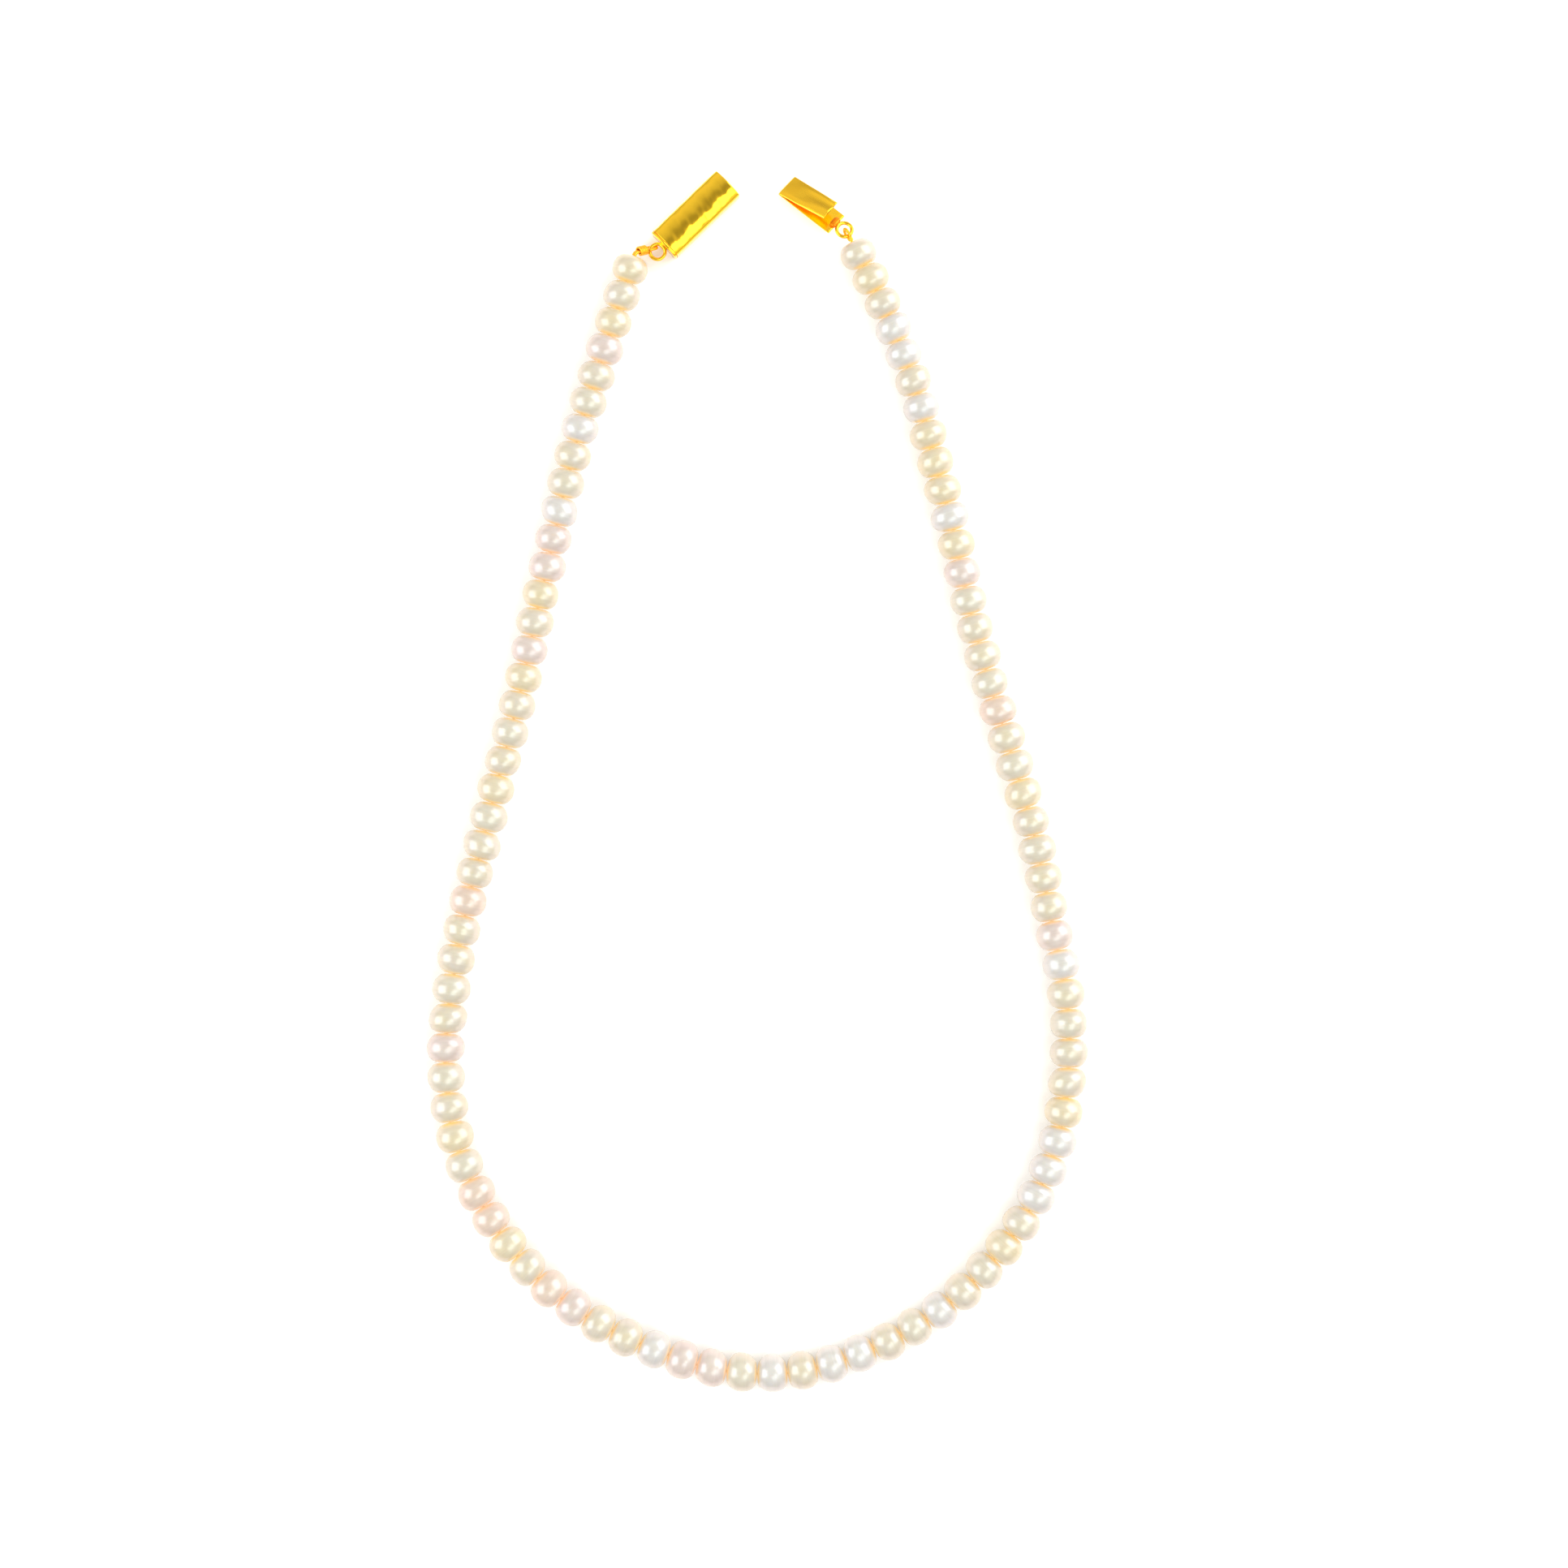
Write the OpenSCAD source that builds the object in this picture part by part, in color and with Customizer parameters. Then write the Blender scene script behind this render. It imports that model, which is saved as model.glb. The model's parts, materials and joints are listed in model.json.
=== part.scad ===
// Pearl necklace: button pearls on a silk thread, closed by a gold box clasp.
// It lies open on a level surface at Z = 0, with the two halves of the clasp apart.
// The loop is longest along Y, its clasp is towards +Y, and X runs from left to right.

/* [Pearls] */
// Diameter of a pearl across its drill hole, at the clasp ends of the strand
pearl_d = 5.65; // [4.5:0.05:8]
// How much wider the pearls are in the middle of the strand
pearl_d_swell = 0.2; // [0:0.05:0.8]
// Length of a pearl along its drill hole, at the clasp ends of the strand
pearl_len = 4.15; // [3.4:0.05:6]
// How much longer the pearls are in the middle of the strand
pearl_len_swell = 0.38; // [0:0.02:0.8]
// Largest departure of a pearl from the even sizes, as a share of its size
pearl_stray = 0.02; // [0:0.005:0.04]
// Bluntness of the outline: 2 is an ellipse
pearl_blunt = 2.4; // [2:0.05:2.6]
// Clear gap between two neighbouring pearls
pearl_gap = 0.12; // [0.1:0.01:0.3]
// Diameter of the drill hole
bore_d = 0.8; // [0.7:0.05:1.2]

/* [Thread and loops] */
// Diameter of the silk thread inside the pearls
thread_d = 0.35; // [0.2:0.05:0.4]
// Diameter of the gold-covered cord that loops through each ring
gimp_d = 0.45; // [0.35:0.01:0.5]
// Diameter of the cord wound round the left loop
wrap_d = 0.3; // [0.2:0.02:0.4]
// Number of turns wound round the left loop
wrap_turns = 5; // [3:1:5]
// Run of the left loop from its bend at the pearl to the ring, seen from above
left_reach = 2.45; // [2.3:0.05:4]
// Run of the right loop from its bend at the pearl to the ring, seen from above
right_reach = 0.7; // [0.6:0.05:3]

/* [Rings] */
// Outer diameter of the ring on each half of the clasp
ring_d = 2.9; // [2.7:0.05:3.6]
// Diameter of the ring's wire
ring_wire = 0.56; // [0.4:0.02:0.6]

/* [Box half of the clasp] */
// Length of the tube, without its end cap
box_len = 13.35; // [11.5:0.05:18]
// Width across the side walls
box_w = 5.2; // [4.8:0.1:7]
// Height of the side walls
box_side = 2.4; // [2.2:0.1:3.2]
// Height of the crown above the side walls
box_crown = 0.8; // [0.5:0.1:1.2]
// Thickness of the tube's wall
box_wall = 0.3; // [0.2:0.05:0.4]
// Thickness of the end cap
cap_t = 0.4; // [0.3:0.05:0.8]
// Thickness of the slotted plate behind the mouth
mouth_t = 0.35; // [0.25:0.05:0.6]
// How far the slotted plate lies inside the mouth
mouth_set = 0.25; // [0.1:0.05:1]

/* [Tongue half of the clasp] */
// Length of the lower leaf
lower_len = 9.7; // [8.5:0.1:11]
// Length of the upper leaf, from the fold to its free end
upper_len = 8.6; // [7:0.1:9]
// Width of the folded strip
leaf_w = 3.9; // [3:0.1:4.2]
// Width of the upper leaf at its free end
leaf_tip_w = 3.3; // [2.4:0.1:3.9]
// Thickness of the strip
leaf_t = 0.3; // [0.2:0.02:0.4]
// Angle between the two leaves when the spring is free
leaf_open = 17; // [14:1:20]

/* [How the clasp lies] */
// Direction that the box half points in
box_heading = 44; // [20:1:70]
// Direction that the tongue half points in
tongue_heading = 141; // [120:1:170]
// How far the tongue's ring end is lifted
tongue_pitch = 7; // [4:1:12]
// How far the tongue is rolled on its long axis
tongue_roll = 16; // [0:1:25]

/* [Hidden] */
// Points along the strand from the left clasp end, round the front, to the right clasp end
route = [
    [-19.5, 78.5], [-22, 70.5], [-25, 61], [-28.5, 49], [-31, 38], [-33.5, 27], [-36, 15],
    [-39, 3], [-42, -9], [-45, -21.5], [-46.9, -32.5], [-47.7, -43], [-46.5, -53.5],
    [-42.5, -64], [-36, -73.5], [-27.5, -81], [-17, -86.5], [-6, -90], [5, -90.5],
    [16, -87.5], [26.5, -82], [35.5, -74], [42, -65], [46, -55], [47.6, -44.5],
    [47.4, -33.5], [45, -21], [42.5, -8.5], [39, 4], [35.5, 15.5], [32.5, 27],
    [30, 38.5], [27, 50], [24, 61], [20, 71.5], [15.5, 80.8]
];
pairs = 22;
last_pearl = 4 * pairs + 2;
route_steps = 8;
outline_steps = 8;
thread_spans = 77;
tube_sides = 8;
pearl_tones = ["ivory", "seashell", "mistyrose", "linen"];
gold = "gold";

// Clearances
mouth_clear = 0.12;
leg_clear = 0.02;
wrap_clear = 0.08;
hinge_clear = 0.04;
slot_clear = 0.15;

// Vectors
function unit(v) = v / norm(v);
function turn_x(v, a) = [v.x, v.y * cos(a) - v.z * sin(a), v.y * sin(a) + v.z * cos(a)];
function turn_y(v, a) = [v.x * cos(a) + v.z * sin(a), v.y, v.z * cos(a) - v.x * sin(a)];
function turn_z(v, a) = [v.x * cos(a) - v.y * sin(a), v.x * sin(a) + v.y * cos(a), v.z];
function turned(v, angles) = turn_z(turn_y(turn_x(v, angles.x), angles.y), angles.z);
function compass(a) = [cos(a), sin(a), 0];

// The route as a smooth line: cubic spans whose end directions weigh both neighbours
route_last = len(route) - 1;
function chord(i) = norm(route[i + 1] - route[i]);
function slope(i) = (route[i + 1] - route[i]) / chord(i);
function lean(i) = i == 0 ? slope(0) : i == route_last ? slope(i - 1) :
    (slope(i - 1) * chord(i) + slope(i) * chord(i - 1)) / (chord(i - 1) + chord(i));
function span_point(i, u) =
    (1 + 2 * u) * pow(1 - u, 2) * route[i] + u * pow(1 - u, 2) * chord(i) * lean(i) +
    pow(u, 2) * (3 - 2 * u) * route[i + 1] - pow(u, 2) * (1 - u) * chord(i) * lean(i + 1);
line = [
    for (i = [0 : route_last - 1]) for (k = [0 : route_steps - 1]) span_point(i, k / route_steps),
    route[route_last]
];
line_last = len(line) - 1;
line_run = [
    for (i = 0, run = 0; i <= line_last;
         i = i + 1, run = run + (i <= line_last ? norm(line[i] - line[i - 1]) : 0)) run
];

// Pearl sizes: they swell towards the middle, and each strays a little
swell = [for (i = [0 : last_pearl]) pow(sin(180 * i / last_pearl), 2)];
len_stray = rands(-pearl_stray, pearl_stray, last_pearl + 1, 5);
wide_stray = rands(-pearl_stray, pearl_stray, last_pearl + 1, 8);
lens = [for (i = [0 : last_pearl]) (pearl_len + pearl_len_swell * swell[i]) * (1 + len_stray[i])];
wides = [for (i = [0 : last_pearl]) (pearl_d + pearl_d_swell * swell[i]) * (1 + wide_stray[i])];

// Where each pearl's centre is along the strand, and the route spread to fit that length
centre_run = [
    for (i = 0, run = 0; i <= last_pearl;
         i = i + 1,
         run = run + (i <= last_pearl ? (lens[i - 1] + lens[i]) / 2 + pearl_gap : 0)) run
];
strand_len = centre_run[last_pearl];
spread = strand_len / line_run[line_last];
x_by_run = [for (i = [0 : line_last]) spread * [line_run[i], line[i].x]];
y_by_run = [for (i = [0 : line_last]) spread * [line_run[i], line[i].y]];
z_by_run = [for (i = [0 : last_pearl]) [centre_run[i], wides[i] / 2]];
function strand_at(run) = [lookup(run, x_by_run), lookup(run, y_by_run), lookup(run, z_by_run)];
function strand_heading(run) =
    let (ahead = strand_at(run + 1) - strand_at(run - 1)) atan2(ahead.y, ahead.x);
function centre(i) = strand_at(centre_run[i]);
function heading(i) = strand_heading(centre_run[i]);
// The middle of the gap between pearl i and pearl i + 1
function gap_run(i) = centre_run[i] + (lens[i] + pearl_gap) / 2;

// Placing each half of the clasp: its ring's centre is its own origin
ring_mid = (ring_d - ring_wire) / 2;
ring_cut = 0.17;
solder_x = ring_d / 2 - ring_cut;
box_bottom = -1.5;
box_turn = [0, 0, box_heading];
tongue_turn = [tongue_roll, tongue_pitch, tongue_heading];
block_start = 0.05;
lower_x = ring_d / 2 + block_start;
fold_x = lower_x + lower_len;
fold_z = -0.15;
fold_lowest = turned([fold_x, -leaf_w / 2, fold_z], [tongue_roll, tongue_pitch, 0]).z - leaf_t;
box_rest = -box_bottom;
tongue_rest = -fold_lowest;

// Each loop leaves the pearl's drill hole, bends, and turns round the ring's wire.
// A stub is the run before the bend, and an aim is where the loop then points
left_stub = 0.5;
right_stub = 0.35;
left_aim = 20;
right_aim = 124;
left_out = -compass(heading(0));
right_out = compass(heading(last_pearl));
left_mouth = centre(0) + left_out * (lens[0] / 2 + mouth_clear);
right_mouth = centre(last_pearl) + right_out * (lens[last_pearl] / 2 + mouth_clear);
left_bend = left_mouth + left_out * left_stub;
right_bend = right_mouth + right_out * right_stub;
// Where the loop holds each ring, as an angle round the ring from the clasp's own direction
left_link_at = 111;
right_link_at = 163;
left_link = turned(ring_mid * compass(left_link_at), box_turn);
right_link = turned(ring_mid * compass(right_link_at), tongue_turn);
function ring_place(bend, aim, reach, link, rest) =
    let (p = bend + reach * compass(aim) - link) [p.x, p.y, rest];
box_ring = ring_place(left_bend, left_aim, left_reach, left_link, box_rest);
tongue_ring_at = ring_place(right_bend, right_aim, right_reach, right_link, tongue_rest);
left_hold = box_ring + left_link;
right_hold = tongue_ring_at + right_link;
leg_close = gimp_d / 2 + leg_clear;
wrap_start = 0.5;
wrap_in = leg_close + gimp_d / 2 + wrap_clear;
wrap_spacing = 1.1;
wrap_pitch = wrap_d * wrap_spacing;
wrap_len = wrap_turns * wrap_pitch;
// A loop's legs run side by side, open out before the ring, and turn round past its wire
loop_r = 0.7;
loop_open_by = 0.3;
left_tilt = -60;
right_tilt = -75;
left_together = wrap_start + wrap_len;
right_together = 0.05;
left_past = 0.3;
right_past = 0.5;

// The tongue's slot is as wide as the leaf and lower than the open spring
slot_w = leaf_w + 2 * slot_clear;
slot_h = 1.9;

// Names
function two_digits(n) = str(n < 10 ? "0" : "", n);
function left_pair(n) = str("pearls_left_", two_digits(n));
function right_pair(n) = str("pearls_right_", two_digits(n));

// A tube with flat ends along a list of points
function path_ways(p) =
    [for (i = [0 : len(p) - 1]) unit(p[min(i + 1, len(p) - 1)] - p[max(i - 1, 0)])];
function across(v, way) = unit(v - (v * way) * way);
function path_sides(ways) = [
    for (i = 0, side = across([0.3, 0.2, 1], ways[0]); i < len(ways);
         i = i + 1, side = i < len(ways) ? across(side, ways[i]) : side) side
];
module tube(p, r) {
    ways = path_ways(p);
    sides = path_sides(ways);
    points = [
        for (i = [0 : len(p) - 1]) for (k = [0 : tube_sides - 1])
            let (a = 360 * k / tube_sides)
            p[i] + r * (cos(a) * sides[i] + sin(a) * cross(ways[i], sides[i]))
    ];
    end = (len(p) - 1) * tube_sides;
    walls = [
        for (i = [0 : len(p) - 2]) for (k = [0 : tube_sides - 1])
            let (a = i * tube_sides, b = a + tube_sides, next = (k + 1) % tube_sides)
            [a + k, b + k, b + next, a + next]
    ];
    caps = [
        [for (k = [0 : tube_sides - 1]) k],
        [for (k = [0 : tube_sides - 1]) end + tube_sides - 1 - k]
    ];
    polyhedron(points, concat(walls, caps), convexity = 6);
}

// A pearl is a blunt ellipsoid of revolution about its drill hole
module pearl(i) {
    half = lens[i] / 2;
    wide = wides[i] / 2;
    full = half / pow(1 - pow(bore_d / 2 / wide, pearl_blunt), 1 / pearl_blunt);
    outline = [
        for (k = [-outline_steps : outline_steps])
            let (z = half * sin(90 * k / outline_steps))
            [wide * pow(1 - pow(abs(z) / full, pearl_blunt), 1 / pearl_blunt), z]
    ];
    color(pearl_tones[i % len(pearl_tones)])
        translate(centre(i)) rotate([0, 90, heading(i)])
            rotate_extrude($fn = 48) polygon(outline);
}
module pearl_pair(first) {
    pearl(first);
    pearl(first + 1);
}

// One thread runs through every pearl, from loop to loop
module stringing_thread() {
    inside = [for (k = [0 : thread_spans]) strand_at(strand_len * k / thread_spans)];
    left_end = left_mouth - left_out * mouth_clear / 2;
    right_end = right_mouth - right_out * mouth_clear / 2;
    color("ivory") tube(concat([left_end], inside, [right_end]), thread_d / 2);
}

// A loop of covered cord: two legs side by side that open out and turn round in the ring
function ease(u) = u * u * (3 - 2 * u);
function loop_path(mouth, bend, hold, together, past, tilt) =
    let (
        way = unit(hold - bend),
        level = unit(cross([0, 0, 1], way)),
        side = cos(tilt) * level + sin(tilt) * cross(way, level),
        turn_out = bend + way * min(together, wrap_start),
        legs_part = bend + way * together,
        legs_open = hold - way * loop_open_by,
        end = hold + way * past,
        curve = [
            for (u = [0 : 0.25 : 1])
                [pow(1 - u, 2) * mouth + 2 * u * (1 - u) * bend + pow(u, 2) * turn_out, leg_close]
        ],
        spread_out = [
            for (u = [0.2 : 0.2 : 1])
                [legs_part + u * (legs_open - legs_part), leg_close + (loop_r - leg_close) * ease(u)]
        ],
        leg = concat(
            curve, together > wrap_start ? [[legs_part, leg_close]] : [], spread_out, [[end, loop_r]]
        ),
        last = len(leg) - 1
    )
    concat(
        [for (i = [0 : last]) leg[i][0] + side * leg[i][1]],
        [for (a = [15 : 15 : 165]) end + loop_r * (cos(a) * side + sin(a) * way)],
        [for (i = [last : -1 : 0]) leg[i][0] - side * leg[i][1]]
    );
module gimp_left() {
    color(gold) tube(
        loop_path(left_mouth, left_bend, left_hold, left_together, left_past, left_tilt), gimp_d / 2
    );
}
module gimp_right() {
    color(gold) tube(
        loop_path(right_mouth, right_bend, right_hold, right_together, right_past, right_tilt),
        gimp_d / 2
    );
}

// Close turns of cord round both legs of the left loop
module wrap_coil_left() {
    way = unit(left_hold - left_bend);
    outline = concat(
        [[wrap_in, 0]],
        [for (n = [0 : wrap_turns - 1]) for (a = [-75 : 30 : 75])
            [wrap_in + wrap_d / 2 * (1 + cos(a)), (n + 0.5 + sin(a) / 2) * wrap_pitch]],
        [[wrap_in, wrap_len]]
    );
    color(gold)
        translate(left_bend + way * wrap_start)
            rotate([0, acos(way.z), atan2(way.y, way.x)])
                rotate_extrude($fn = 36) polygon(outline);
}

// A wire ring, cut where it is soldered on
module clasp_ring() {
    difference() {
        rotate_extrude($fn = 48) translate([ring_mid, 0]) circle(d = ring_wire, $fn = 24);
        translate([solder_x, -ring_d, -ring_d]) cube(2 * ring_d);
    }
}
module on_box() {
    translate(box_ring) rotate(box_turn) children();
}
module on_tongue() {
    translate(tongue_ring_at) rotate(tongue_turn) children();
}

// Cross-section of the box: level bottom, upright sides and a low crown, drawn in by inset
crown_r = (pow(box_w / 2, 2) + pow(box_crown, 2)) / (2 * box_crown);
module box_section(inset = 0) {
    half = box_w / 2 - inset;
    r = crown_r - inset;
    r_z = box_bottom + box_side + box_crown - crown_r;
    reach = asin(half / r);
    polygon(concat(
        [[-half, box_bottom + inset], [half, box_bottom + inset]],
        [for (k = [6 : -1 : -6]) [r * sin(reach * k / 6), r_z + r * cos(reach * k / 6)]]
    ));
}
module along_box(from, thick) {
    on_box() translate([from, 0, 0]) rotate([90, 0, 90]) linear_extrude(thick) children();
}
barrel_x = solder_x + cap_t;
module housing_barrel() {
    color(gold) along_box(barrel_x, box_len) difference() {
        box_section();
        box_section(box_wall);
    }
}
module housing_end_cap() {
    color(gold) along_box(solder_x, cap_t) box_section();
}
module housing_mouth_plate() {
    color(gold) along_box(barrel_x + box_len - mouth_set - mouth_t, mouth_t) difference() {
        box_section(box_wall);
        translate([-slot_w / 2, box_bottom]) square([slot_w, box_wall + slot_h]);
    }
}
module housing_ring() {
    color(gold) on_box() clasp_ring();
}

// The tongue: a strip folded in two, whose upper leaf springs up behind the box's mouth
module tongue_lower_leaf() {
    color(gold) on_tongue() union() {
        translate([lower_x, -leaf_w / 2, fold_z - leaf_t]) cube([lower_len, leaf_w, leaf_t]);
        translate([fold_x, leaf_w / 2, fold_z]) rotate([90, 0, 0]) cylinder(r = leaf_t, h = leaf_w, $fn = 32);
    }
}
module tongue_upper_leaf() {
    start = leaf_t + hinge_clear;
    color(gold) on_tongue() translate([fold_x, 0, fold_z]) rotate([0, leaf_open, 0])
        linear_extrude(leaf_t) polygon([
            [-start, -leaf_w / 2], [-upper_len, -leaf_tip_w / 2],
            [-upper_len, leaf_tip_w / 2], [-start, leaf_w / 2]
        ]);
}
// A block of solder that holds the ring to the lower leaf's end
block = [1.1, 1.8, 0.9];
block_below = 0.25;
module tongue_solder_block() {
    color(gold) on_tongue() difference() {
        translate([solder_x, -block.y / 2, fold_z - block_below]) cube(block);
        translate([lower_x, -leaf_w / 2, fold_z - leaf_t]) cube([lower_len, leaf_w, leaf_t]);
    }
}
module tongue_ring() {
    color(gold) on_tongue() clasp_ring();
}

pearl(last_pearl / 2);  // pearl_centre
pearl(0);  // pearl_left_end
pearl(last_pearl);  // pearl_right_end
for (n = [1 : pairs]) {
    pearl_pair(2 * n - 1);
    pearl_pair(last_pearl - 2 * n);
}
stringing_thread();
gimp_left();
gimp_right();
wrap_coil_left();
housing_barrel();
housing_end_cap();
housing_mouth_plate();
housing_ring();
tongue_lower_leaf();
tongue_upper_leaf();
tongue_solder_block();
tongue_ring();
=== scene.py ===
# %% [markdown]
# # A pearl necklace with a gold box clasp
# Ninety-one freshwater pearls hang on one silk thread, with a small gold box clasp at its ends.
# The imported CAD model fixes where each bead and each half of the clasp is. This script gives
# them their real surfaces; many new pieces ride on the CAD body that they belong to, while the
# silk stretches between pearls and the tongue's upper leaf are fixed where they are made.

# %% The imported frame
import json
import bpy
import numpy as np
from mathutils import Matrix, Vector


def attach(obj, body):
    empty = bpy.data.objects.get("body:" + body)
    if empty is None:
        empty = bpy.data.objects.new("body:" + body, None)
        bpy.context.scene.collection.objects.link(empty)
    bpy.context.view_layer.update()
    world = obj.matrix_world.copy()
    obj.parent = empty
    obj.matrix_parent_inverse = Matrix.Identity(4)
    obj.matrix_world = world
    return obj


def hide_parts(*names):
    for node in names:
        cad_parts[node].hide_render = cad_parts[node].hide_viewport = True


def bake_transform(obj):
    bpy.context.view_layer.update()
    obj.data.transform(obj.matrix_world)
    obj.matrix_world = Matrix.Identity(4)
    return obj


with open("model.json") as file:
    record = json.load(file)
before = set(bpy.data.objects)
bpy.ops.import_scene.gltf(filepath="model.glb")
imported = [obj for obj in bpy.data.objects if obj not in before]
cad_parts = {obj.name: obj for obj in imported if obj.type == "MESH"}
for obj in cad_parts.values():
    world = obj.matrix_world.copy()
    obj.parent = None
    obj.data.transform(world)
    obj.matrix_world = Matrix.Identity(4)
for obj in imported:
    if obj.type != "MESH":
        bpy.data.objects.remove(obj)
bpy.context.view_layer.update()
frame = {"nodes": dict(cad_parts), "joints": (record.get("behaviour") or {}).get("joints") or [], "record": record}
MM = 0.001
joints = {joint["name"]: joint for joint in frame["joints"]}
mounts = {mount["name"]: mount for mount in frame["record"]["mounts"]}

# %% [markdown]
# ## Camera
# The necklace lies on a table and is seen from straight above, with the clasp away from the
# viewer. A lens of 67 mm on a 36 mm sensor sees 30 degrees, so 45 cm up is far enough.

# %% Camera
CAMERA_HEIGHT = 0.4505
VIEW_MIDDLE = (0.0041, -0.0004)
LENS = 67.2
camera_data = bpy.data.cameras.new("table_camera")
camera_data.lens = LENS
camera = bpy.data.objects.new("table_camera", camera_data)
camera.location = (*VIEW_MIDDLE, CAMERA_HEIGHT)
bpy.context.scene.collection.objects.link(camera)
bpy.context.scene.camera = camera
bpy.context.scene.view_settings.view_transform = "Standard"
print("camera looks down from", CAMERA_HEIGHT, "m")

# %% [markdown]
# ## Light
# Pearls and polished gold are mirrors more than anything else: what they show is the room.
# Two large softboxes, one on the right and a slightly weaker one on the left, give each pearl
# its two soft highlights. A white panel leans over the table's near right corner, and the
# box's crown shows its edge as the line between olive and bright gold. The room glows too,
# brighter at eye level than overhead, which leaves a darker patch on top of each pearl.

# %% Softboxes and room
def softbox(name, heading, lean, distance, size, power):
    """A rectangle of light that faces the middle of the table. Its place is `distance` out
    along a line that leans `lean` degrees from the vertical towards compass `heading`."""
    turn, tip = np.radians([heading, lean])
    way = Vector((np.sin(tip) * np.cos(turn), np.sin(tip) * np.sin(turn), np.cos(tip)))
    lamp = bpy.data.lights.new(name, "AREA")
    lamp.shape = "RECTANGLE"
    lamp.size, lamp.size_y = size
    lamp.energy = power
    holder = bpy.data.objects.new(name, lamp)
    holder.location = way * distance
    holder.rotation_mode = "QUATERNION"
    holder.rotation_quaternion = way.to_track_quat("Z", "Y")
    bpy.context.scene.collection.objects.link(holder)
    return holder


LAMP_DISTANCE = 0.75
softbox("right_softbox", 30, 62, LAMP_DISTANCE, (0.78, 0.70), 5.4)
softbox("left_softbox", 182, 57, LAMP_DISTANCE, (0.62, 0.68), 3.9)
softbox("near_right_panel", -46, 27, LAMP_DISTANCE, (0.56, 0.38), 1.6)
print("softboxes 2 and a panel")

# %% [markdown]
# ## Colours and nodes
# Colours are written as the hex values that a colour picker shows, and one function turns
# them into the linear values that the shader works with. One more function adds a node.

# %% Colour and node helpers
def linear(code):
    """An sRGB hex colour as linear red, green, blue and alpha."""
    share = np.array([int(code[k:k + 2], 16) for k in (1, 3, 5)]) / 255
    curve = np.where(share <= 0.04045, share / 12.92, ((share + 0.055) / 1.055) ** 2.4)
    return (*curve.tolist(), 1.0)


def add_node(tree, kind, settings={}, values={}, links={}):
    """Adds a shader node. Settings are its options, values fill sockets, links feed them."""
    made = tree.nodes.new(kind)
    for key, value in settings.items():
        setattr(made, key, value)
    for key, value in values.items():
        made.inputs[key].default_value = value
    for key, source in links.items():
        tree.links.new(source, made.inputs[key])
    return made


def new_material(name, values):
    """A material with one Principled shader, whose even values are set on its own sockets."""
    material = bpy.data.materials.new(name)
    material.use_nodes = True
    shader = material.node_tree.nodes["Principled BSDF"]
    for key, value in values.items():
        shader.inputs[key].default_value = value
    return material, material.node_tree, shader


print("linear cream", [round(x, 3) for x in linear("#EADCC2")])

# %% [markdown]
# ## Room
# The room is a plain glow whose strength depends only on how high one looks: the list gives
# the sine of that angle and the strength there. Overhead it is a grey ceiling. The walls are
# brightest about halfway up, where the clasp's raised leaf looks, and greyer by the table.

# %% Room glow
ROOM_BY_HEIGHT = ((0.0, 0.5), (0.3, 0.62), (0.5, 0.98), (0.72, 0.84), (0.9, 0.68), (0.96, 0.5),
                  (0.985, 0.4), (1.0, 0.36))
world = bpy.data.worlds.new("studio_room")
world.use_nodes = True
tree = world.node_tree
sky = add_node(tree, "ShaderNodeTexCoord")
height = add_node(tree, "ShaderNodeSeparateXYZ", links={"Vector": sky.outputs["Generated"]})
glow = add_node(tree, "ShaderNodeValToRGB", links={"Fac": height.outputs["Z"]})
stops = glow.color_ramp.elements
for at, strength in ROOM_BY_HEIGHT[1:-1]:
    stops.new(at)
for stop, (at, strength) in zip(stops, ROOM_BY_HEIGHT):
    stop.color = (strength, strength * 0.99, strength * 0.97, 1)
tree.links.new(glow.outputs["Color"], tree.nodes["Background"].inputs["Color"])
bpy.context.scene.world = world
print("room glow from", ROOM_BY_HEIGHT[0][1], "to", ROOM_BY_HEIGHT[-1][1])

# %% [markdown]
# ## Table
# The necklace lies on a white acrylic sheet that is lit from below as well as from above,
# as catalogue tables are. Its own glow keeps it near pure white, so that only faint, warm
# shadows are left close to the pearls.

# %% Table
TABLE_HALF = 2.0
HAZE_MM = 1.11
table_material, tree, shader = new_material("white_acrylic_sheet", {
    "Base Color": linear("#F4F2EF"), "Roughness": 0.75, "Specular IOR Level": 0.2,
    "Emission Color": linear("#FFFDF8"), "Emission Strength": 0.12})
place = add_node(tree, "ShaderNodeTexCoord")
haze = add_node(tree, "ShaderNodeTexNoise", values={"Scale": 1 / (HAZE_MM * MM), "Detail": 2.0},
                links={"Vector": place.outputs["Object"]})
bump = add_node(tree, "ShaderNodeBump", values={"Strength": 0.03, "Distance": 0.0001},
                links={"Height": haze.outputs["Fac"]})
tree.links.new(bump.outputs["Normal"], shader.inputs["Normal"])
sheet = bpy.data.meshes.new("table")
corners = [(x * TABLE_HALF, y * TABLE_HALF, 0) for x, y in ((-1, -1), (1, -1), (1, 1), (-1, 1))]
sheet.from_pydata(corners, [], [(0, 1, 2, 3)])
sheet.materials.append(table_material)
table = bpy.data.objects.new("table", sheet)
bpy.context.scene.collection.objects.link(table)
print("table", 2 * TABLE_HALF, "m wide")

# %% [markdown]
# ## Closed skins from grids
# Every new piece is a grid of points worked out by a formula, whose columns close into a
# ring. Its rows either close into a ring as well, as on a pearl with a hole, or end in a
# point at each end, as on a cord. The faces are turned outwards by the sign of the volume
# that they enclose. Each skin has its own UV map: U goes round, and V goes along.

# %% Mesh helpers
def unit(v):
    """Vectors of length one."""
    v = np.asarray(v, float)
    return v / np.linalg.norm(v, axis=-1, keepdims=True)


def blunt(value, power):
    """A value's sign times its size to a power: a power below one squares a circle off."""
    return np.sign(value) * np.abs(value) ** power


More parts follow.
